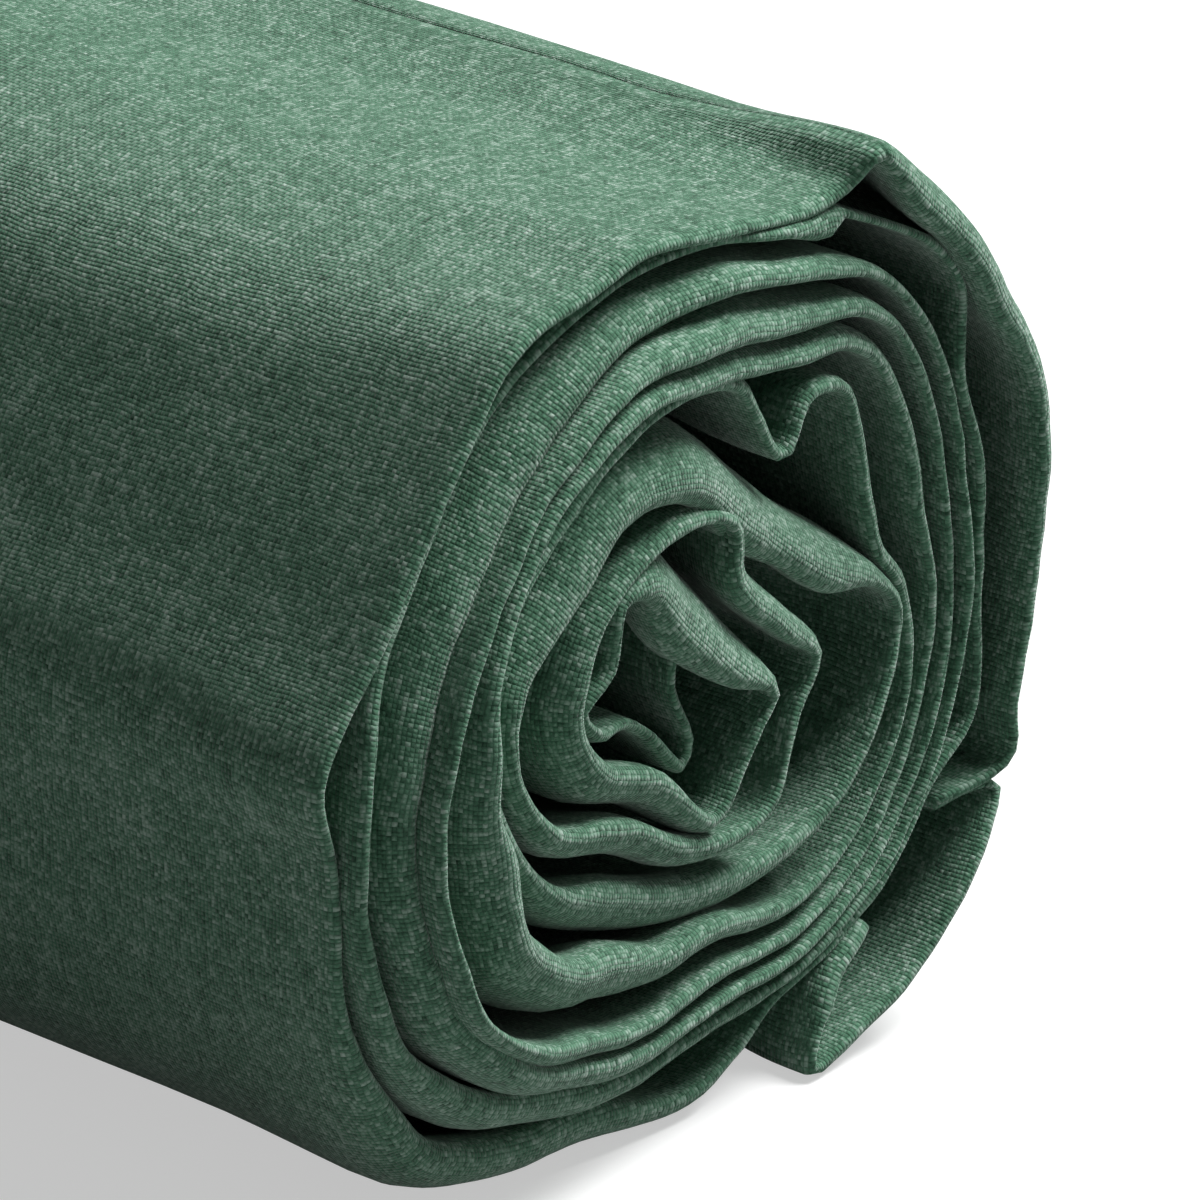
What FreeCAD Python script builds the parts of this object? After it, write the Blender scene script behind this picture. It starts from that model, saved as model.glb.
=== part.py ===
import FreeCAD, Part
import math
import os

# A loosely rolled cloth, lying on its side.
#
# The cloth was folded in two along its length and then rolled up, so every turn is a folded double
# layer.  All the folds are at the near end (-Y) and all the open edges are at the far end (+Y).  The
# turns have slid along each other, so each end is a set of slanted steps instead of a flat disc.
# The outermost stretch is a loose flap: it starts at a crease near the top right, hangs down the right
# side, is pinched into a pleat half-way down and ends beside the roll's foot.  It can be lifted open.
#
# Axes: +X to the right and +Z up, seen from the near end; +Y runs along the roll to its far end.
# The origin is on the floor, below the middle of the roll.  All sizes are in millimetres.
#
# "Winding" is the angle along the cloth in degrees.  It is the ordinary polar angle about the roll's
# centre (0 to the right, 90 up, 180 left, 270 down), and it keeps growing by 360 with each turn inwards.

# ---------------------------------------------------------------- driving dimensions

cloth_width = 520.0              # open width of the cloth, folded in two along the roll
wrap_count = 5                   # tight whole turns under the flap
wrap_thickness = 2.9             # folded double cloth with the air in its fold
wrap_gap = 0.4                   # air between one turn and the next
core_fold_count = 2              # puffy turns inside the tight ones
core_fold_thickness = 4.4
core_half_width = 9.5            # crumpled start of the roll
core_half_height = 5.4
centre_swell_power = 8           # how suddenly the first turn leaves the crumpled start
squareness = 2.3                 # 2 would be an ellipse; more is squarer
slant = 2.2                      # how far the roll leans towards its upper right and lower left
floor_press = 0.8                # how far the roll's own weight flattens its underside

flap_thickness = 2.6             # the loose flap: double cloth, pressed flat
flap_floor_gap = 0.3             # the flap's end just clears the floor
crease_winding = 58.0            # where the flap starts, at the crease
pleat_upper_winding = -27.0      # upper corner of the pleat
pleat_lower_winding = -33.0      # lower corner of the pleat
flap_end_winding = -72.0         # the flap's free end, beside the roll's foot
tight_winding = 282.0            # where the outer turn dives under the flap and becomes tight
hinge_gap = 0.4                  # play between the flap and the turn that it hangs from
pleat_reach_gap = 0.8            # play between the pleat's inner fold and the turn behind it

wrap_lip_radius = 0.6            # rounding of a turn's folded near edge
core_lip_radius = 1.2
flap_lip_radius = 0.8

# How far the flap and the outermost turn stand off the tight oval: (winding, millimetres).  The peaks
# are the crease at the top right and the kinks at the upper left, the left and the lower left.
flap_end_stand_off = [(-72, 6.2), (-62, 7.2), (-48, 7.4), (-33, 6.2)]
flap_stand_off = [(-27, 7.0), (-12, 5.0), (18, 3.4), (44, 4.4), (58, 5.6)]
outer_stand_off = [(58, 5.6), (63, 3.4), (70, 1.9), (85, 1.6), (105, 2.4), (121, 3.6), (132, 1.7),
                   (158, 1.5), (175, 3.0), (190, 1.3), (207, 1.7), (225, 4.0), (242, 3.6), (256, 2.3),
                   (268, 3.0), (282, 1.2), (300, 0.0)]

# How each turn has slid along the roll: (towards the near end at the centre, and for each millimetre
# to the left of it).
flap_slide = (-0.5, 0.0)
wrap_slides = [(-1.0, 0.03), (1.0, 0.10), (3.8, 0.16), (3.7, 0.15), (3.5, 0.13)]
core_slides = [(3.8, 0.10), (3.2, 0.08)]
centre_slide = (2.0, 0.06)

# ---------------------------------------------------------------- sizes that follow

LAP = 360.0
STEP = 24.0                      # largest winding between two points that a curve passes through
LIP_STEPS = 3                    # flats that make up the quarter round of a folded edge
roll_length = cloth_width / 2
wrap_pitch = wrap_thickness + wrap_gap
core_pitch = core_fold_thickness + wrap_gap
wraps_end = crease_winding + wrap_count * LAP
core_end = wraps_end + core_fold_count * LAP
build_up = wrap_pitch * (wraps_end - tight_winding) / LAP + core_pitch * (core_fold_count + 1)
tight_half_width = core_half_width + build_up
tight_half_height = core_half_height + build_up


def stand_off(marks, winding):
    """Height at a winding of the eased line through (winding, height) marks, level past both ends."""
    if winding <= marks[0][0]:
        return marks[0][1]
    for (start, low), (end, high) in zip(marks, marks[1:]):
        if winding <= end:
            share = (winding - start) / (end - start)
            return low + (high - low) * share * share * (3 - 2 * share)
    return marks[-1][1]


def oval(winding):
    """Radius of the roll's slanted, rather square oval, where the turns become tight."""
    across = abs(math.cos(math.radians(winding))) / tight_half_width
    up = abs(math.sin(math.radians(winding))) / tight_half_height
    radius = (across ** squareness + up ** squareness) ** (-1 / squareness)
    return radius + slant * math.sin(math.radians(2 * winding))


def rim(winding):
    """Outer radius of the wound cloth: the loose outermost turn first, then the tight spiral."""
    if winding < tight_winding:
        return oval(winding) + stand_off(outer_stand_off, winding)
    tight_turns = (min(winding, wraps_end) - tight_winding) / LAP
    core_turns = max(winding - wraps_end, 0.0) / LAP
    tight = oval(winding) - wrap_pitch * tight_turns - core_pitch * core_turns
    return tight + stand_off(outer_stand_off, winding)


def windings(start, end, marks=()):
    """Windings from start to end, no more than STEP apart, that include the marks between them."""
    stops = sorted({start, end} | {winding for winding, _ in marks if start < winding < end})
    result = [start]
    for low, high in zip(stops, stops[1:]):
        count = math.ceil((high - low) / STEP)
        result += [low + (high - low) * i / count for i in range(1, count + 1)]
    return result


centre_height = rim(270.0) - floor_press


def point(winding, radius, slide, depth=0.0):
    """A point at a depth behind the near end, whose slanted plane comes from the turn's slide."""
    x = radius * math.cos(math.radians(winding))
    z = centre_height + radius * math.sin(math.radians(winding))
    towards_near, per_left = slide
    return FreeCAD.Vector(x, depth - roll_length / 2 - towards_near + per_left * x, z)


def lip_sections(radius):
    """(depth, inset) of the sections that round the folded near edge, and of the plain far edge."""
    angles = [math.radians(90.0 * step / LIP_STEPS) for step in range(LIP_STEPS + 1)]
    lip = [(radius * (1 - math.cos(angle)), radius * (1 - math.sin(angle))) for angle in angles]
    return lip + [(roll_length, 0.0)]


def curve(points, closed=False):
    """Smooth edge through the points."""
    spline = Part.BSplineCurve()
    spline.interpolate(Points=points, PeriodicFlag=closed)
    return spline.toShape()


def band(stops, outer_radii, inner_radii, slide, lip_radius):
    """Band of cloth along the whole roll, over the stops of winding, with its near edge folded round."""
    sections = []
    for depth, inset in lip_sections(lip_radius):
        outer = [point(w, r - inset, slide, depth) for w, r in zip(stops, outer_radii)]
        inner = [point(w, r + inset, slide, depth) for w, r in zip(stops, inner_radii)]
        sections.append(Part.Wire([curve(outer), Part.makeLine(outer[-1], inner[-1]),
                                   curve(inner[::-1]), Part.makeLine(inner[0], outer[0])]))
    return Part.makeLoft(sections, True, True)


def above(solid, height):
    """The part of the solid that is above a height: the floor presses it flat there."""
    box = solid.BoundBox
    corner = FreeCAD.Vector(box.XMin - 1, box.YMin - 1, height)
    return solid.common(Part.makeBox(box.XLength + 2, box.YLength + 2, box.ZMax + 1, corner))


def spiral_turn(start, slide, lip_radius, marks=()):
    """One whole turn of the spiral, from its outer face to the air gap before the next turn."""
    stops = windings(start, start + LAP, marks)
    outer_radii = [rim(w) for w in stops]
    inner_radii = [rim(w + LAP) + wrap_gap for w in stops]
    return band(stops, outer_radii, inner_radii, slide, lip_radius)


def wrap(number):
    """A tight turn; the first one is the loose outermost turn, which rests on the floor."""
    start = crease_winding + number * LAP
    marks = outer_stand_off if number == 0 else ()
    turn = spiral_turn(start, wrap_slides[number], wrap_lip_radius, marks)
    return above(turn, 0.0) if number == 0 else turn


def core_fold(number):
    """A puffy turn near the middle."""
    return spiral_turn(wraps_end + number * LAP, core_slides[number], core_lip_radius)


def core_centre():
    """The crumpled start of the roll, which swells out again where its first turn leaves it."""
    stops = windings(core_end, core_end + LAP)[:-1]
    swells = [(1 - (w - core_end) / LAP) ** centre_swell_power for w in stops]
    radii = [rim(w) - core_pitch * swell for w, swell in zip(stops, swells)]
    sections = []
    for depth, inset in lip_sections(core_lip_radius):
        outline = [point(w, r - inset, centre_slide, depth) for w, r in zip(stops, radii)]
        sections.append(Part.Wire([curve(outline, closed=True)]))
    return Part.makeLoft(sections, True, True)


def flap_band(marks, start, end):
    """A stretch of the flap that follows the roll's side at its stand-off."""
    stops = windings(start, end, marks)
    outer_radii = [oval(w) + stand_off(marks, w) for w in stops]
    inner_radii = [radius - flap_thickness for radius in outer_radii]
    return band(stops, outer_radii, inner_radii, flap_slide, flap_lip_radius)


def flap_side():
    """The flap from its crease down to the pleat."""
    hinge_radius = oval(crease_winding) + flap_stand_off[-1][1]
    play = math.degrees(hinge_gap / hinge_radius)
    return flap_band(flap_stand_off, pleat_upper_winding, crease_winding - play)


def flap_pleat():
    """The pleat: the flap runs in towards the roll and straight back out again."""
    upper = oval(pleat_upper_winding) + flap_stand_off[0][1]
    lower = oval(pleat_lower_winding) + flap_end_stand_off[-1][1]
    reach = rim(pleat_lower_winding + LAP) + pleat_reach_gap
    corners = [point(pleat_upper_winding, upper, flap_slide), point(pleat_upper_winding, reach, flap_slide),
               point(pleat_lower_winding, reach, flap_slide), point(pleat_lower_winding, lower, flap_slide)]
    outline = Part.makePolygon(corners + corners[:1])
    return Part.Face(outline).extrude(FreeCAD.Vector(0, roll_length, 0))


def flap_end():
    """The flap below the pleat: a loose bulge that ends beside the roll's foot."""
    return above(flap_band(flap_end_stand_off, flap_end_winding, pleat_lower_winding), flap_floor_gap)


def build():
    """Every sub-part by its node name, moved so that the origin is below the middle of the roll."""
    parts = {"flap_side": flap_side(), "flap_pleat": flap_pleat(), "flap_end": flap_end()}
    for number in range(wrap_count):
        parts["wrap_%d" % (number + 1)] = wrap(number)
    for number in range(core_fold_count):
        parts["core_fold_%d" % (number + 1)] = core_fold(number)
    parts["core_centre"] = core_centre()
    box = Part.makeCompound(list(parts.values())).optimalBoundingBox(False)
    shift = FreeCAD.Vector(-(box.XMin + box.XMax) / 2, -(box.YMin + box.YMax) / 2, 0)
    for shape in parts.values():
        shape.translate(shift)
    hinge = point(crease_winding, oval(crease_winding) + flap_stand_off[-1][1], flap_slide) + shift
    print("lift axis of the flap along Y through x %.3f, z %.3f" % (hinge.x, hinge.z))
    print("whole part %.1f x %.1f x %.1f mm" % (box.XLength, box.YLength, box.ZLength))
    return parts


os.makedirs("parts", exist_ok=True)
for name, shape in build().items():
    shape.exportStep("parts/%s.step" % name)
    solid_box = shape.optimalBoundingBox(False)
    print("%-12s %8.0f mm3  x %.1f..%.1f  y %.1f..%.1f  z %.2f..%.2f" % (
        name, shape.Volume, solid_box.XMin, solid_box.XMax, solid_box.YMin, solid_box.YMax,
        solid_box.ZMin, solid_box.ZMax))
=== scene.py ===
import math

import bpy
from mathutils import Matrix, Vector, noise


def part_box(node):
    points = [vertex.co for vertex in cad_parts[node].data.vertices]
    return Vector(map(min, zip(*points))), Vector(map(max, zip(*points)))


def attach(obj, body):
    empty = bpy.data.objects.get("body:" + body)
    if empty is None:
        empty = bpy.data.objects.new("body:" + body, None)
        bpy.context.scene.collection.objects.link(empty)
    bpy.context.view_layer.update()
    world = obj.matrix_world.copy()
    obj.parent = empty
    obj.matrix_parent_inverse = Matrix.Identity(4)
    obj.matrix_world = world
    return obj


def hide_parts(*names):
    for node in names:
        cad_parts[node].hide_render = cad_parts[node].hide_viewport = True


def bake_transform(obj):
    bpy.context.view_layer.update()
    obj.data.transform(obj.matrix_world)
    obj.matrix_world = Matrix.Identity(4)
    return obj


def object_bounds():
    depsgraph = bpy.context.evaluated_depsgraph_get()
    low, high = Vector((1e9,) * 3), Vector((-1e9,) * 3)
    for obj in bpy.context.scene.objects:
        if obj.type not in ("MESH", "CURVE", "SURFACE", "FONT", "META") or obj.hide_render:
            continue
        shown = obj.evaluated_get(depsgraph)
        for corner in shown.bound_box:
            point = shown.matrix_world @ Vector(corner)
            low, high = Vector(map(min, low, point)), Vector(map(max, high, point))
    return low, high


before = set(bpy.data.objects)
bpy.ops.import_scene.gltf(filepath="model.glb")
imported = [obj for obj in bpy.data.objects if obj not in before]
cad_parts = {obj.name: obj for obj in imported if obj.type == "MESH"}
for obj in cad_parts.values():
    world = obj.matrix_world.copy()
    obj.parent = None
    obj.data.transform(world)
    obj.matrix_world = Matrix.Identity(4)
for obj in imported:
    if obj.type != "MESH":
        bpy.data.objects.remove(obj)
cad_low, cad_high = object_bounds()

# A loosely rolled, folded cloth.  The whole cloth is one folded double layer that follows one long
# line, the course, from its free end inwards: the flap, the outer turn, four tight turns, and the
# puffy folds in the middle.  The flap and the outer turn are placed in the boxes of the CAD's nodes,
# each tight turn follows the turn outside it at a gap, and the folds lie about the roll's middle.

MM = 0.001

# ------------------------------------------------------------------ the course of the cloth

# The half gap in the rows is half the thickness of the rounded fold at the near end. It and the other
# distances are in millimetres.
# The flap, from its free end to the crease: (node, share of its box's width, of its height, half
# gap, how far the fold stands out towards the near end).
flap_marks = [
    ("flap_end", 0.42, 0.68, 0.5, -1.0),     # free end, tucked back under the roll's foot
    ("flap_end", 0.22, 0.48, 0.5, 0.4),
    ("flap_end", 0.07, 0.04, 0.5, 1.6),      # its turned-up tip
    ("flap_end", 0.30, 0.12, 0.9, 1.3),
    ("flap_end", 0.62, 0.36, 0.9, 1.0),
    ("flap_end", 0.90, 0.84, 0.8, 0.8),
    ("flap_pleat", 0.74, 0.66, 0.5, -0.6),   # lower corner of the pleat
    ("flap_pleat", -0.05, 0.58, 0.5, -1.8),  # its inner fold
    ("flap_pleat", 0.82, 0.94, 0.5, 0.2),    # its upper corner
    ("flap_side", 0.79, 0.13, 0.7, 0.2),
    ("flap_side", 0.89, 0.27, 0.9, 0.3),
    ("flap_side", 0.94, 0.46, 1.1, 0.5),
    ("flap_side", 0.90, 0.62, 1.4, 0.5),
    ("flap_side", 0.69, 0.75, 2.0, 0.5),
    ("flap_side", 0.47, 0.86, 2.0, 0.6),
    ("flap_side", 0.24, 0.94, 1.9, 0.6),
    ("flap_side", 0.04, 1.01, 1.0, 0.5),
    ("flap_side", -0.04, 1.025, 0.6, 0.4),   # the crease that the flap hangs from
]
# The outer turn in the box of wrap_1: (share of its width, of its height, half gap).
outer_marks = [
    (0.77, 0.985, 0.6),      # corner beside the crease
    (0.71, 0.972, 0.6),
    (0.60, 0.985, 0.6),
    (0.46, 1.000, 0.6),
    (0.41, 0.985, 0.6),
    (0.29, 0.950, 0.5),      # kink at the upper left
    (0.22, 0.870, 0.5),
    (0.09, 0.680, 0.5),
    (0.015, 0.565, 0.5),     # kink at the widest place
    (0.03, 0.480, 0.5),
    (0.045, 0.300, 0.6),
    (0.10, 0.170, 1.6),
    (0.16, 0.090, 2.4),
    (0.26, 0.052, 2.6),      # broad loose fold under the roll
    (0.39, 0.042, 2.2),
    (0.54, 0.022, 1.0),
    (0.61, 0.050, 0.6),      # corner above the flap's free end
    (0.66, 0.090, 0.5),
    (0.76, 0.130, 0.5),
    (0.83, 0.175, 0.5),
    (0.90, 0.260, 0.5),
    (0.965, 0.320, 0.5),
    (0.975, 0.450, 0.6),
    (0.975, 0.600, 0.6),
    (0.94, 0.720, 0.6),
    (0.94, 0.815, 0.5),      # bends in over a pocket
    (0.90, 0.875, 0.5),
]
tuck = 0.88                  # the next turn starts at this share of the crease's distance
# The tight turns: (direction, gap to the turn outside it, half gap, how far the fold stands out
# beyond its turn's own slide), where the direction is 90 at the top, 180 at the left, 270 at the
# bottom and 360 at the right, and goes on past 360 to the next turn's start.
tight_turns = [
    [(64, 2.0, 0.5, 0.0), (90, 1.8, 0.5, -2.0), (120, 2.2, 0.5, -3.0), (150, 2.2, 0.5, -2.5),
     (180, 1.8, 0.5, -0.5), (205, 2.0, 0.7, 0.0), (222, 3.3, 1.8, 0.0), (242, 4.8, 2.0, 0.0),
     (270, 5.2, 1.1, 0.0), (315, 1.4, 0.5, 0.0), (350, 1.6, 0.5, 0.0), (375, 2.5, 0.5, 0.0),
     (400, 2.8, 0.5, 0.0)],
    [(60, 4.3, 0.8, 0.0), (72, 2.9, 1.0, 0.0), (100, 2.9, 1.4, -2.0), (140, 3.0, 1.9, -3.0),
     (180, 3.0, 1.9, -3.0), (202, 3.6, 1.9, -2.0), (220, 3.9, 1.7, 0.0), (242, 3.4, 1.5, 0.0),
     (270, 2.8, 1.0, 0.0), (315, 1.5, 0.5, 0.0), (350, 1.5, 0.5, 0.0), (400, 2.2, 0.5, 0.0)],
    [(60, 3.6, 1.2, 0.0), (80, 3.6, 1.5, 0.0), (110, 2.6, 0.7, -1.0), (135, 2.1, 0.5, -2.0),
     (180, 2.0, 0.5, -1.5), (212, 1.6, 0.6, 0.0), (238, 2.6, 1.1, 0.0), (270, 2.5, 1.1, 0.0),
     (315, 1.5, 0.5, 0.0), (350, 1.8, 0.6, 0.0), (375, 2.7, 0.9, 0.0), (400, 2.6, 0.8, 0.0)],
    [(60, 3.2, 1.0, 0.0), (80, 2.9, 1.2, 0.0), (110, 2.0, 0.7, -0.5), (135, 1.3, 0.5, -1.0),
     (155, 1.5, 0.5, -0.5), (172, 3.0, 1.4, 0.0), (188, 5.4, 3.0, 0.0), (206, 5.4, 3.0, 0.0),
     (240, 4.8, 2.7, 0.0), (270, 3.7, 1.5, 0.0), (315, 2.0, 0.5, 0.0), (342, 1.6, 0.6, 0.0),
     (356, 3.6, 0.8, 0.0), (375, 6.4, 0.9, 0.0), (388, 6.0, 0.8, 0.0)],
]
last_direction = 388         # where the last tight turn passes into the folds
first_half_gap = 0.6         # half gap where the first tight turn starts
# The folds in the middle: (right of the roll's middle, above it, half gap).
folds = [
    # an arch, a deep dent and a thin fold that runs round behind the next one
    [(22, 15, 0.8), (20, 19, 0.7), (15, 20, 0.7), (12, 16, 0.6), (9, 20, 0.7), (6, 24, 0.8),
     (-3, 25, 0.9), (-13, 21, 0.8), (-22, 14, 0.8), (-25, 6, 0.8), (-23, -3, 0.8), (-17, -11, 1.5),
     (-9, -15, 2.9), (1, -18, 2.5), (10, -18, 1.6), (18, -16, 1.0), (24, -10, 0.9), (27, -2, 0.7)],
    # the broad puffy arch and the flat band under it
    [(24, 2, 0.9), (17, 6, 2.8), (9, 12, 3.1), (0, 19, 3.0), (-9, 19, 2.8), (-16, 14, 2.7),
     (-22, 8, 1.8), (-22, 1, 1.2), (-17, -6, 1.5), (-8, -9, 1.9), (0, -13, 1.6), (7, -13, 0.8)],
    # a shoulder at the right, a thin top and a broad lobe at the lower left
    [(10, -11, 0.6), (12, -6, 0.6), (15, -1, 0.8), (11, 3, 1.5), (6, 8, 1.4), (5, 13, 0.7),
     (-1, 15, 0.8), (-8, 13, 0.9), (-13, 9, 1.8), (-15, 3, 2.0), (-12, -3, 2.0), (-5, -6, 1.9),
     (2, -11, 1.0)],
    # a pointed wedge
    [(5, -8, 0.6), (7, -5, 0.6), (9, -2, 0.7), (5, 2, 2.4), (0, 7, 3.9), (-5, 12, 2.4),
     (-9, 11, 0.7), (-10, 6, 0.6)],
    # the thin tail that zigzags beside the wedge and ends behind it
    [(-13, 3, 0.6), (-10, 0, 0.6), (-7, 0, 0.6), (-4, -2, 0.6), (0, -6, 0.6), (1, -4, 0.6),
     (-1, 1, 0.6), (0, 6, 0.5)],
]
# How far the outer turn, the four tight turns and the five folds have slid towards the near end:
# (at the roll's middle, more for each millimetre to the left of it).
slides = [(-0.7, 0.025), (0.6, 0.055), (2.2, 0.120), (2.3, 0.145), (2.0, 0.14),
          (1.0, 0.10), (2.0, 0.08), (2.0, 0.05), (2.5, 0.05), (0.4, 0.05)]

# ------------------------------------------------------------------ sizes, in millimetres

cloth_thickness = 0.45           # of one layer
cloth_width = 520.0              # of the whole cloth, before it is folded in two
roll_length = cloth_width / 2

course_step = 1.3                # between neighbouring points of the mesh along the course
winding_step = 10                # degrees between neighbouring stops of a tight turn
kink_reach = (-20, -10, 0, 10, 20)   # degrees either way over which the outer turn is evened out
spline_parts = 12                # parts that the smooth line has between two stops

least_spacing = 0.12             # from the fold's middle to the middle of each layer, at the least
deep_spacing = 0.4               # the same well inside the roll,
deep_share = 0.45                # or this share of the spacing at the fold, if that is more
pinch_length = 9.0               # depth over which the spacing shrinks to the deep one
lip_points = 9                   # points round the folded edge
slope_back = 3.2                 # how far the fold's outer side runs back, in spacings
crest_share = 0.5                # how far its crest lies inside its middle, in spacings

# Depths of the mesh's first rows behind the folded edge.
near_rows = (1.2, 2.0, 3.0, 4.2, 5.6, 7.2, 9.0, 11.5, 15.0)
loose_row_step = 7.0             # between the further rows of the flap and the outer turn
inner_row_step = 14.0            # and of the turns inside them
last_row_margin = 10.0           # from those rows to the far end
hem_width = 8.0                  # of the doubled edge
hem_step = 0.6                   # over which the cloth gets thicker at the hem
far_row = 0.5                    # from the row before the last to the far end

loose_lean = 1.0                 # how far the layers close towards the outer one: 1 is fully,
inner_lean = 0.8                 # and the same in the turns inside the outer one

calm_reach = 11.0                # small kinks up to this long fade behind the near end,
calm_start = 3.0                 # from this depth on,
calm_depth = 22.0                # over this depth,
calm_share = 0.9                 # by this share
slide_depth = 120.0              # the turns' slides fade out over this depth

# Slow unevenness of the cloth: how fast it changes per millimetre, across the roll and along it.
wave_across = 0.030
wave_along = 0.012
wave_slow = 1.5                  # height of the slow waves
wave_quick = 0.5                 # height of the quicker ones, which are
wave_quicker = 3.1               # this many times as close together
wave_start = 4.0                 # depth where they begin
wave_depth = 50.0                # depth over which they grow to their full height
# Irregularities of the folded edge: (size, how fast they change per millimetre of the course, place
# in the noise).
slide_wobbles = ((0.40, 0.09, 2.2), (0.18, 0.31, 5.1))
gap_wobble = (0.25, 0.14, 9.4)   # as a share of the half gap

floor_clearance = 0.05           # under the lowest places of the cloth

# The folds' near end before any of them slides, a little inside the near face of the outer turn.
near_end_slide = 0.3
near_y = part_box("wrap_1")[0].y + near_end_slide * MM


# ------------------------------------------------------------------ course

def ease(t):
    """0 to 1 with a gentle start and end."""
    t = min(max(t, 0.0), 1.0)
    return t * t * (3 - 2 * t)


def place(node, across, up):
    """Point (x, z) in millimetres at shares of the width and height of a node's box."""
    low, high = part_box(node)
    return (low.x + (high.x - low.x) * across) / MM, (low.z + (high.z - low.z) * up) / MM


roll_middle = place("wrap_3", 0.5, 0.5)


def polar(x, z):
    """(direction in degrees, distance) of a point seen from the roll's middle."""
    right_of = x - roll_middle[0]
    above = z - roll_middle[1]
    return math.degrees(math.atan2(above, right_of)), math.hypot(right_of, above)


def from_middle(direction, distance):
    """Point (x, z) in a direction and at a distance from the roll's middle."""
    angle = math.radians(direction)
    return roll_middle[0] + distance * math.cos(angle), roll_middle[1] + distance * math.sin(angle)


flap_stops = [place(node, across, up) + (fold, slide) for node, across, up, fold, slide in flap_marks]
crease_direction, crease_distance = polar(flap_stops[-1][0], flap_stops[-1][1])


def along(marks, at):
    """Values at a place on a list of marks (place, value, value, ...), eased between them."""
    if at <= marks[0][0]:
        return marks[0][1:]
    for a, b in zip(marks, marks[1:]):
        if at <= b[0]:
            share = ease((at - a[0]) / (b[0] - a[0]))
            return tuple(p + (q - p) * share for p, q in zip(a[1:], b[1:]))
    return marks[-1][1:]


def slide_at(turns, x):
    """How far the fold stands out after a number of turns, at a place across the roll."""
    marks = [(i + 0.5,) + pair for i, pair in enumerate(slides)]
    at_middle, per_left = along(marks, turns)
    return at_middle - per_left * (x - roll_middle[0])


def knot_gap(a, b):
    """Distance between two stops in the smooth line's own measure."""
    return max(math.hypot(b[0] - a[0], b[1] - a[1]), 0.001) ** 0.5


def smooth(stops):
    """Points on the Catmull-Rom line through the stops, closer together than the stops."""
    points = []
    for i, (p1, p2) in enumerate(zip(stops, stops[1:])):
        p0 = stops[i - 1] if i > 0 else None
        p3 = stops[i + 2] if i + 2 < len(stops) else None
        gap = knot_gap(p1, p2)
        gap_in = knot_gap(p0, p1) if p0 else gap
        gap_out = knot_gap(p2, p3) if p3 else gap
        for k in range(spline_parts):
            t = k / spline_parts
            point = []
            for n, (b, c) in enumerate(zip(p1, p2)):
                a = p0[n] if p0 else b - (c - b)
                d = p3[n] if p3 else c + (c - b)
                rise_in = gap * ((b - a) / gap_in - (c - a) / (gap_in + gap) + (c - b) / gap)
                rise_out = gap * ((c - b) / gap - (d - b) / (gap + gap_out) + (d - c) / gap_out)
                point.append((2 * t ** 3 - 3 * t ** 2 + 1) * b + (t ** 3 - 2 * t ** 2 + t) * rise_in
                             + (3 * t ** 2 - 2 * t ** 3) * c + (t ** 3 - t ** 2) * rise_out)
            points.append(point)
    points.append(list(stops[-1]))
    return points


def spline(stops):
    """Points [x, z, half gap, slide, run] one course step apart on the smooth line through stops."""
    dense = smooth(stops)
    run = [0.0]
    for a, b in zip(dense, dense[1:]):
        run.append(run[-1] + math.hypot(b[0] - a[0], b[1] - a[1]))
    steps = round(run[-1] / course_step)
    line = []
    i = 0
    for n in range(steps + 1):
        s = run[-1] * n / steps
        while i < len(run) - 2 and run[i + 1] < s:
            i += 1
        share = (s - run[i]) / max(run[i + 1] - run[i], 1e-9)
        line.append([a + (b - a) * share for a, b in zip(dense[i], dense[i + 1])] + [s])
    return line


def outer_stops():
    """The outer turn, from the crease round to where the next turn starts below it."""
    stops = []
    for i, (across, up, fold) in enumerate(outer_marks):
        x, z = place("wrap_1", across, up)
        stops.append((x, z, fold, slide_at(i / len(outer_marks), x)))
    x, z = from_middle(crease_direction, crease_distance * tuck)
    return stops + [(x, z, outer_marks[-1][2], slide_at(1.0, x))]


def outer_distances(line):
    """(winding, distance from the roll's middle) along the outer turn's line."""
    result = []
    for point in line:
        winding, distance = polar(point[0], point[1])
        while result and winding < result[-1][0] - 180.0:
            winding += 360.0
        result.append((winding, distance))
    return result


def tight_stops():
    """The tight turns: each follows the turn outside it at its gap.  The outermost of them leaves
    out the outer turn's small kinks."""
    start = crease_direction + 360.0
    marks = [(start, crease_distance * (1 - tuck), first_half_gap, 0.0)]
    for number, turn in enumerate(tight_turns):
        marks += [(row[0] + 360.0 * (number + 1),) + row[1:] for row in turn]
    outside = outer_distances(spline(outer_stops()))[1:]
    per_turn = 360 // winding_step
    total = (last_direction - crease_direction) / 360.0 + len(tight_turns) - 1
    distances = []
    stops = []
    for k in range(int(total * per_turn) + 1):
        winding = start + k * winding_step
        gap, fold, further = along(marks, winding)
        if k == 0:
            before = crease_distance
        elif k < per_turn:
            near = [along(outside, winding - 360.0 + aside)[0] for aside in kink_reach]
            before = sum(near) / len(near)
        else:
            before = distances[k - per_turn]
        distances.append(before - gap)
        x, z = from_middle(winding, distances[k])
        stops.append((x, z, fold, slide_at(1.0 + k / per_turn, x) + further))
    return stops


def fold_stops():
    """The puffy folds in the middle."""
    stops = []
    for number, marks in enumerate(folds):
        for i, (right_of, above, fold) in enumerate(marks):
            turns = 1 + len(tight_turns) + number + i / len(marks)
            x = roll_middle[0] + right_of
            stops.append((x, roll_middle[1] + above, fold, slide_at(turns, x)))
    return stops


# ------------------------------------------------------------------ mesh

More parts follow.
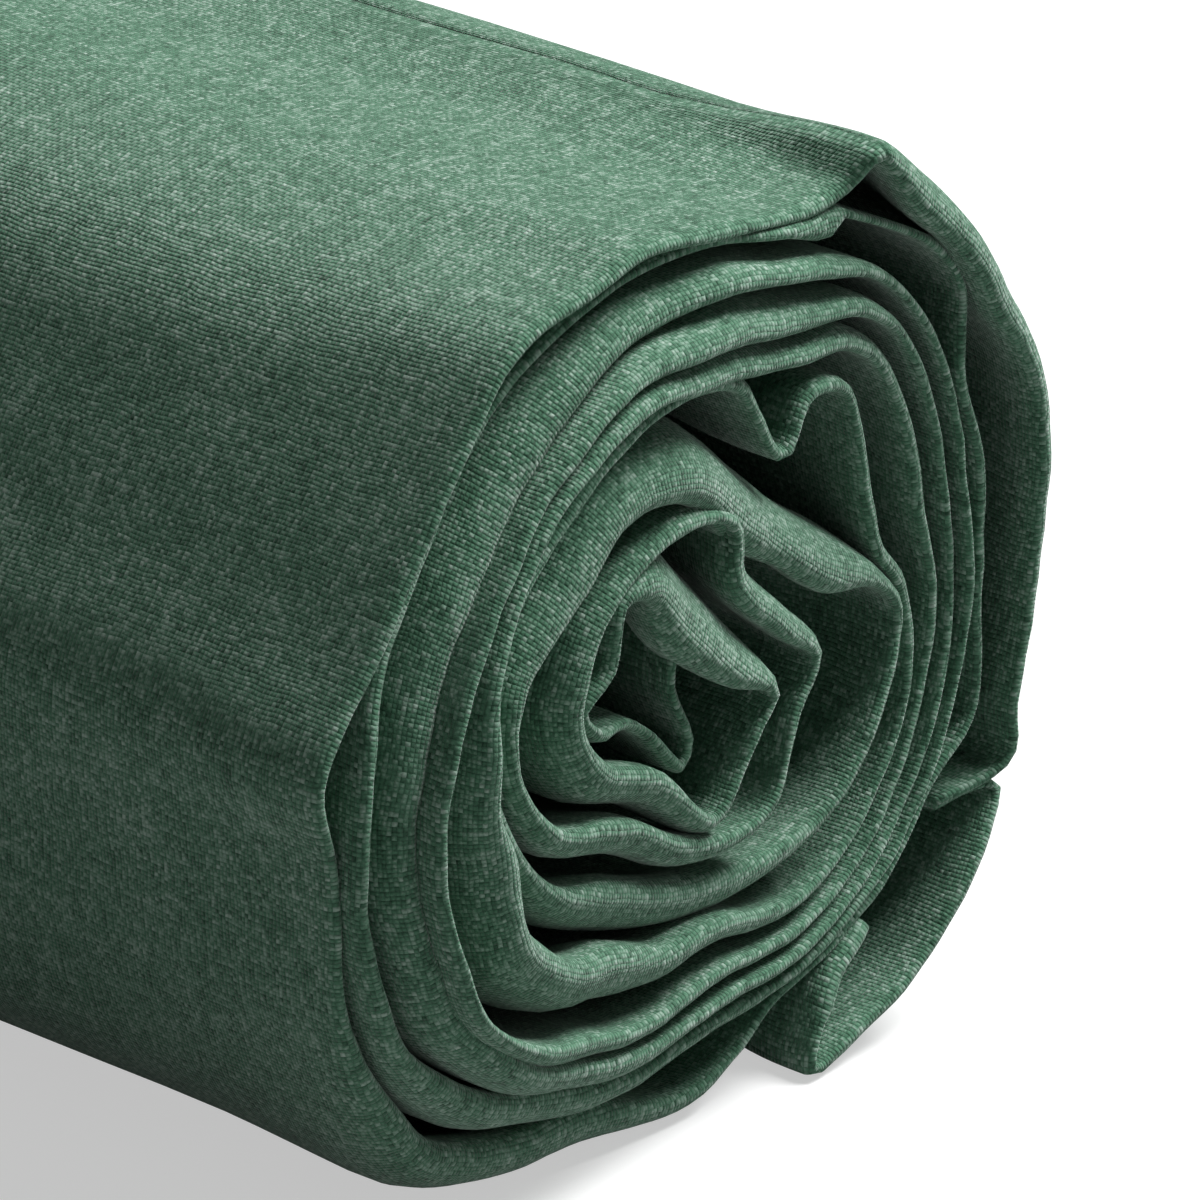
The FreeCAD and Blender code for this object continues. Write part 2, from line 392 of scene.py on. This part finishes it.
def outward(points):
    """Unit vector to the roll's outside at each point of a line."""
    result = []
    for i in range(len(points)):
        a = points[max(i - 1, 0)]
        b = points[min(i + 1, len(points) - 1)]
        dx, dz = b[0] - a[0], b[1] - a[1]
        size = math.hypot(dx, dz) or 1.0
        result.append((dz / size, -dx / size))
    return result


def calmed(line):
    """The line without its small kinks: what the cloth settles to behind the near end."""
    reach = round(calm_reach / course_step)
    result = []
    for i in range(len(line)):
        near = min(reach, i, len(line) - 1 - i)
        part = line[i - near:i + near + 1]
        weights = [1.0 - abs(k - near) / (near + 1) for k in range(len(part))]
        total = sum(weights)
        result.append([sum(w * p[n] for w, p in zip(weights, part)) / total for n in range(2)])
    return result


def depths(step):
    """Depths of the cloth's points behind the fold, from near to far."""
    rows = list(near_rows)
    while rows[-1] + step < roll_length - last_row_margin:
        rows.append(rows[-1] + step)
    hem_start = roll_length - hem_width
    return rows + [hem_start, hem_start + hem_step, roll_length - far_row, roll_length]


def section(fold, rows, lean):
    """(depth, offset, is hem) of the middle of the cloth, from the outer layer's far edge round
    the fold to the inner layer's far edge."""
    spacing = max(fold - cloth_thickness / 2, least_spacing)
    deep = min(spacing, max(deep_spacing, deep_share * spacing))
    crest = -crest_share * spacing
    outer_side = (spacing - crest, spacing * slope_back)
    inner_side = (spacing + crest, spacing + crest)
    outer, inner = [], []
    for depth in rows:
        half = spacing + (deep - spacing) * ease(depth / pinch_length)
        hem = depth > roll_length - hem_width + hem_step / 2
        for layer, side, (_, start) in ((outer, 1, outer_side), (inner, -1, inner_side)):
            behind = start + depth * (1 - start / roll_length)
            layer.append((behind, side * half + lean * (spacing - half), hem))
    lip = []
    for k in range(lip_points):
        angle = math.pi / 2 - math.pi * (k + 1) / (lip_points + 1)
        width, start = outer_side if angle > 0 else inner_side
        lip.append((start * (1 - math.cos(angle)), crest + width * math.sin(angle), False))
    return outer[::-1] + lip + inner


def wave(x, z, depth):
    """Slow unevenness of the cloth: neighbouring turns move together."""
    spot = Vector((x * wave_across, depth * wave_along, z * wave_across))
    slow = noise.noise(spot)
    quick = noise.noise(spot * wave_quicker + Vector((7.3, 1.9, 4.4)))
    return ease((depth - wave_start) / wave_depth) * (wave_slow * slow + wave_quick * quick)


def wobble(s, size, pace, seed):
    """A small irregularity at a place along the course."""
    return size * noise.noise(Vector((s * pace, 3.0, seed)))


def cloth_points(line, calm, first, last, rows, lean):
    """The vertices of the folded cloth from one point of the course to another, their UVs in
    metres, and which of them are in a hem."""
    raw_out, calm_out = outward(line), outward(calm)
    vertices, uvs, hems = [], [], []
    for i in range(first, last + 1):
        x, z, fold, slide, s = line[i]
        slide += sum(wobble(s, *values) for values in slide_wobbles)
        run, before = 0.0, None
        for depth, offset, hem in section(fold * (1 + wobble(s, *gap_wobble)), rows, lean):
            settle = calm_share * ease((depth - calm_start) / calm_depth)
            mx = x + (calm[i][0] - x) * settle
            mz = z + (calm[i][1] - z) * settle
            nx = raw_out[i][0] + (calm_out[i][0] - raw_out[i][0]) * settle
            nz = raw_out[i][1] + (calm_out[i][1] - raw_out[i][1]) * settle
            out = offset + wave(mx, mz, depth)
            y = near_y + (depth - slide * (1 - ease(depth / slide_depth))) * MM
            height = max(mz + nz * out, cloth_thickness / 2 + floor_clearance)
            vertices.append(((mx + nx * out) * MM, y, height * MM))
            if before is not None:
                run += math.hypot(depth - before[0], offset - before[1])
            before = (depth, offset)
            uvs.append((s * MM, run * MM))
            # the free end, where the course starts, is hemmed too
            hems.append(hem or s < hem_width)
    return vertices, uvs, hems


def cloth_mesh(name, first, last, row_step, lean):
    """The folded cloth from one point of the course to another, with its thickness."""
    rows = depths(row_step)
    vertices, uvs, hems = cloth_points(course, calm_course, first, last, rows, lean)
    across = 2 * len(rows) + lip_points
    faces = []
    for i in range(last - first):
        for j in range(across - 1):
            a = i * across + j
            faces.append((a, a + across, a + across + 1, a + 1))
    mesh = bpy.data.meshes.new(name)
    mesh.from_pydata(vertices, [], faces)
    layer = mesh.uv_layers.new(name="cloth")
    for loop in mesh.loops:
        layer.data[loop.index].uv = uvs[loop.vertex_index]
    mesh.polygons.foreach_set("use_smooth", [True] * len(mesh.polygons))
    obj = bpy.data.objects.new(name, mesh)
    bpy.context.scene.collection.objects.link(obj)
    # the hem is twice as thick as the rest
    group = obj.vertex_groups.new(name="hem")
    group.add([i for i, hem in enumerate(hems) if hem], 1.0, "REPLACE")
    solid = obj.modifiers.new("thickness", "SOLIDIFY")
    solid.thickness = 2 * cloth_thickness * MM
    solid.offset = 0.0
    solid.vertex_group = "hem"
    solid.thickness_vertex_group = 0.5
    graph = bpy.context.evaluated_depsgraph_get()
    applied = bpy.data.meshes.new_from_object(obj.evaluated_get(graph))
    obj.modifiers.clear()
    obj.vertex_groups.clear()
    obj.data = applied
    return obj


# ------------------------------------------------------------------ nodes

def new_tree(owner):
    """The node tree of a material or world, emptied."""
    owner.use_nodes = True
    owner.node_tree.nodes.clear()
    return owner.node_tree


def put(tree, value, socket):
    """Sets a socket to a number, or links another node's output to it."""
    if isinstance(value, bpy.types.NodeSocket):
        tree.links.new(value, socket)
    else:
        socket.default_value = value


def add(tree, kind, inputs=(), **settings):
    """A new node with its settings, and its inputs as (name or number, value or output)."""
    node = tree.nodes.new("ShaderNode" + kind)
    for name, value in settings.items():
        setattr(node, name, value)
    for which, value in inputs:
        put(tree, value, node.inputs[which])
    return node


def mixed_shader(tree, share, first, second):
    """Output of a mix of two shaders."""
    return add(tree, "MixShader", ((0, share), (1, first), (2, second))).outputs[0]


def seen_directly(tree):
    """1 for camera, glossy and transmission rays, 0 for the rays that light the object."""
    path = add(tree, "LightPath")
    total = path.outputs["Is Camera Ray"]
    for name in ("Is Glossy Ray", "Is Transmission Ray"):
        total = add(tree, "Math", ((0, total), (1, path.outputs[name])), operation="MAXIMUM").outputs[0]
    return total


# ------------------------------------------------------------------ material

yarn_pitch = 0.00036             # metres from yarn to yarn, both ways
yarn_drift = (170.0, 2.2)        # noise scale, and how many yarns the weave drifts by
yarn_roundness = 0.6             # power of a sine: lower is flatter on top
yarn_step = 3.17                 # in the noise, from yarn to yarn
tone_drift = 0.07                # in the noise, along a yarn, from crossing to crossing
cloth_colour = (0.100, 0.240, 0.150, 1.0)
dark_yarn = (0.028, 0.078, 0.046, 1.0)
light_yarn = (0.41, 0.54, 0.46, 1.0)

# Noise over the cloth: (scale, detail, roughness).
fibre_noise = (3000.0, 2.0, 0.7)
slub_noise = (700.0, 2.0, 0.6)   # thicker and thinner places of the yarn
patch_noise = (70.0, 3.0, 0.6)   # paler and darker areas

# How much each of them moves the colour from dark to light, and the level that they start from. The yarns'
# height adds painted shade: darker in the dips, lighter on the tops.
tone_weight = 0.9                # each yarn's own tone
crossing_weight = 0.42           # each crossing's own tone
fibre_weight = 0.85
slub_weight = 0.55
patch_weight = 0.25
# painted shade: the weave is coloured darker where a yarn dips under the next one
dip_shade_weight = 0.26
colour_level = -1.18

# Relief of the weave: the yarns' height, and what the fibres and the crossings add to it.
relief_fibre = 0.35
relief_crossing = 0.25
relief_depth = 0.00009           # metres

cloth_roughness = 0.93
cloth_specular = 0.06
cloth_sheen = 0.38
sheen_roughness = 0.45


def weave_material():
    """A plain weave: yarns both ways that pass over and under each other, uneven in tone."""
    mat = bpy.data.materials.new("woven cloth")
    tree = new_tree(mat)

    def calc(operation, *values):
        return add(tree, "Math", enumerate(values), operation=operation).outputs[0]

    def cloudy(where, scale, detail=2.0, rough=0.5):
        values = (("Vector", where), ("Scale", scale), ("Detail", detail), ("Roughness", rough))
        return add(tree, "TexNoise", values).outputs["Fac"]

    def vector(*values):
        return add(tree, "CombineXYZ", enumerate(values)).outputs[0]

    uv = add(tree, "UVMap", uv_map="cloth").outputs[0]
    along_course, along_roll = add(tree, "SeparateXYZ", ((0, uv),)).outputs[:2]
    turned = vector(along_roll, along_course, 3.7)
    drift_scale, drift = yarn_drift
    even_u = calc("MULTIPLY", along_course, 1.0 / yarn_pitch)
    even_v = calc("MULTIPLY", along_roll, 1.0 / yarn_pitch)
    u = calc("MULTIPLY_ADD", cloudy(uv, drift_scale), drift, even_u)
    v = calc("MULTIPLY_ADD", cloudy(turned, drift_scale), drift, even_v)
    cell_u = calc("FLOOR", u)
    cell_v = calc("FLOOR", v)
    ridge_u = calc("SINE", calc("MULTIPLY", calc("FRACT", u), math.pi))
    ridge_v = calc("SINE", calc("MULTIPLY", calc("FRACT", v), math.pi))
    # the height of a yarn: rounded across, and lower where it dips under the next one
    over_u = calc("MULTIPLY", calc("POWER", ridge_u, yarn_roundness), calc("MULTIPLY_ADD", ridge_v, 0.5, 0.5))
    over_v = calc("MULTIPLY", calc("POWER", ridge_v, yarn_roundness), calc("MULTIPLY_ADD", ridge_u, 0.5, 0.5))
    parity = calc("ABSOLUTE", calc("MODULO", calc("ADD", cell_u, cell_v), 2.0))

    def on_top(warp, weft):
        """The value of the yarn that lies on top at each crossing."""
        return add(tree, "Mix", ((0, parity), (2, warp), (3, weft)), data_type="FLOAT").outputs[0]

    # each yarn has its own tone, which drifts along it; each crossing has a little of its own
    warp_spot = vector(calc("MULTIPLY", cell_u, yarn_step), calc("MULTIPLY", v, tone_drift), 0.0)
    weft_spot = vector(calc("MULTIPLY", u, tone_drift), calc("MULTIPLY", cell_v, yarn_step), 5.0)
    cell = vector(cell_u, cell_v, 0.0)
    crossing = add(tree, "TexWhiteNoise", (("Vector", cell),), noise_dimensions="2D").outputs["Value"]
    # the yarns' height, used for the relief and for the painted shade in the weave's dips
    height = on_top(over_u, over_v)
    fibre = cloudy(uv, *fibre_noise)

    tone = colour_level
    for value, weight in (
        (on_top(cloudy(warp_spot, 1.0), cloudy(weft_spot, 1.0)), tone_weight),
        (crossing, crossing_weight),
        (fibre, fibre_weight),
        (cloudy(uv, *slub_noise), slub_weight),
        (cloudy(uv, *patch_noise), patch_weight),
        # painted shade in the dips of the weave
        (height, dip_shade_weight),
    ):
        tone = calc("MULTIPLY_ADD", value, weight, tone)
    ramp = add(tree, "ValToRGB", ((0, tone),))
    ramp.color_ramp.elements[0].color = dark_yarn
    ramp.color_ramp.elements[1].color = light_yarn
    ramp.color_ramp.elements.new(0.5).color = cloth_colour

    relief = calc("MULTIPLY_ADD", crossing, relief_crossing, height)
    relief = calc("MULTIPLY_ADD", fibre, relief_fibre, relief)
    bump = add(tree, "Bump", (("Strength", 1.0), ("Distance", relief_depth), ("Height", relief)))
    shader = add(tree, "BsdfPrincipled", (
        ("Base Color", ramp.outputs[0]),
        ("Normal", bump.outputs[0]),
        ("Roughness", cloth_roughness),
        ("Specular IOR Level", cloth_specular),
        ("Sheen Weight", cloth_sheen),
        ("Sheen Roughness", sheen_roughness),
    ))
    add(tree, "OutputMaterial", ((0, shader.outputs[0]),))
    return mat


# ------------------------------------------------------------------ pieces

course = spline(flap_stops + outer_stops() + tight_stops() + fold_stops())
calm_course = calmed(course)


def nearest(stop):
    """Number of the course's point that is nearest to a stop."""
    return min(range(len(course)), key=lambda i: math.hypot(course[i][0] - stop[0], course[i][1] - stop[1]))


crease_at = nearest(flap_stops[-1])
turn_2_at = nearest(tight_stops()[0])
end_at = len(course) - 1
flap = cloth_mesh("flap_cloth", 0, crease_at, loose_row_step, loose_lean)
outer = cloth_mesh("outer_turn", crease_at, turn_2_at, loose_row_step, loose_lean)
inner = cloth_mesh("inner_turns", turn_2_at, end_at, inner_row_step, inner_lean)
cloth = weave_material()
for obj in (flap, outer, inner):
    obj.data.materials.clear()
    obj.data.materials.append(cloth)

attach(outer, "roll")
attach(inner, "roll")
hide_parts("wrap_1")
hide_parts("wrap_2", "wrap_3", "wrap_4", "wrap_5", "core_fold_1", "core_fold_2", "core_centre")
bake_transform(flap)
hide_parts("flap_side", "flap_pleat", "flap_end")

# ------------------------------------------------------------------ floor, light and camera

floor_size = 6.0                 # metres
floor_grey = 0.42                # as the rays that light the object see it
floor_pale = 0.55                # as the camera sees it, with
floor_lift = 0.52                # this much light of its own,
white_from, white_to = 0.35, 0.75    # and turning plain white this far from the object
ambient_level = 0.072
lamp_place = (0.72, -0.34, 1.12)
lamp_target = (0.0, -0.05, 0.04)
lamp_size = 0.6
lamp_power = 28.5
camera_azimuth, camera_elevation = -47.0, 23.0
camera_distance = 0.8116
camera_lens = 320.0              # millimetres
camera_aside, camera_above = -0.00705, 0.0069   # where it aims, seen from the middle of the near end


def grey(level):
    """An opaque grey."""
    return (level, level, level, 1)


bpy.ops.mesh.primitive_plane_add(size=floor_size, location=(0.0, 0.0, 0.0))
floor = bpy.context.object
floor.name = "floor"
floor_mat = bpy.data.materials.new("pale floor")
tree = new_tree(floor_mat)
lighting = add(tree, "BsdfDiffuse", (("Color", grey(floor_grey)),)).outputs[0]
pale = add(tree, "BsdfDiffuse", (("Color", grey(floor_pale)),)).outputs[0]
lift = add(tree, "Emission", (("Strength", floor_lift),)).outputs[0]
white = add(tree, "Emission", (("Strength", 1.0),)).outputs[0]
spot = add(tree, "TexCoord").outputs["Object"]
distance = add(tree, "VectorMath", ((0, spot),), operation="LENGTH").outputs["Value"]
fade_inputs = (("Value", distance), ("From Min", white_from), ("From Max", white_to))
fade = add(tree, "MapRange", fade_inputs, interpolation_type="SMOOTHSTEP").outputs["Result"]
shown = add(tree, "AddShader", ((0, pale), (1, lift))).outputs[0]
shown = mixed_shader(tree, fade, shown, white)
surface = mixed_shader(tree, seen_directly(tree), lighting, shown)
add(tree, "OutputMaterial", ((0, surface),))
floor.data.materials.append(floor_mat)

world = bpy.data.worlds.new("studio")
bpy.context.scene.world = world
tree = new_tree(world)
ambient = add(tree, "Background", (("Color", grey(1.0)), ("Strength", ambient_level))).outputs[0]
white = add(tree, "Background", (("Color", grey(1.0)), ("Strength", 1.0))).outputs[0]
surface = mixed_shader(tree, seen_directly(tree), ambient, white)
add(tree, "OutputWorld", ((0, surface),))

lamp_data = bpy.data.lights.new("overhead", "AREA")
lamp_data.shape = "RECTANGLE"
lamp_data.size = lamp_size
lamp_data.size_y = lamp_size
lamp_data.energy = lamp_power
lamp = bpy.data.objects.new("overhead", lamp_data)
bpy.context.scene.collection.objects.link(lamp)
lamp.location = lamp_place
lamp.rotation_mode = "QUATERNION"
lamp.rotation_quaternion = (Vector(lamp_target) - Vector(lamp_place)).to_track_quat("-Z", "Y")

near_middle = Vector(((cad_low.x + cad_high.x) / 2, near_y, (cad_low.z + cad_high.z) / 2))
azimuth = math.radians(camera_azimuth)
elevation = math.radians(camera_elevation)
back = Vector((math.sin(azimuth) * math.cos(elevation), -math.cos(azimuth) * math.cos(elevation),
               math.sin(elevation)))
right = Vector((math.cos(azimuth), math.sin(azimuth), 0.0))
up = back.cross(right)
aim = near_middle + right * camera_aside + up * camera_above
camera_data = bpy.data.cameras.new("camera")
camera_data.lens = camera_lens
camera_data.sensor_width = 36.0
camera_data.clip_start = 0.01
camera_data.clip_end = 10.0
camera = bpy.data.objects.new("camera", camera_data)
bpy.context.scene.collection.objects.link(camera)
camera.location = aim + back * camera_distance
camera.rotation_mode = "QUATERNION"
camera.rotation_quaternion = (-back).to_track_quat("-Z", "Y")
bpy.context.scene.camera = camera
bpy.context.scene.view_settings.view_transform = "Standard"

bpy.context.view_layer.update()
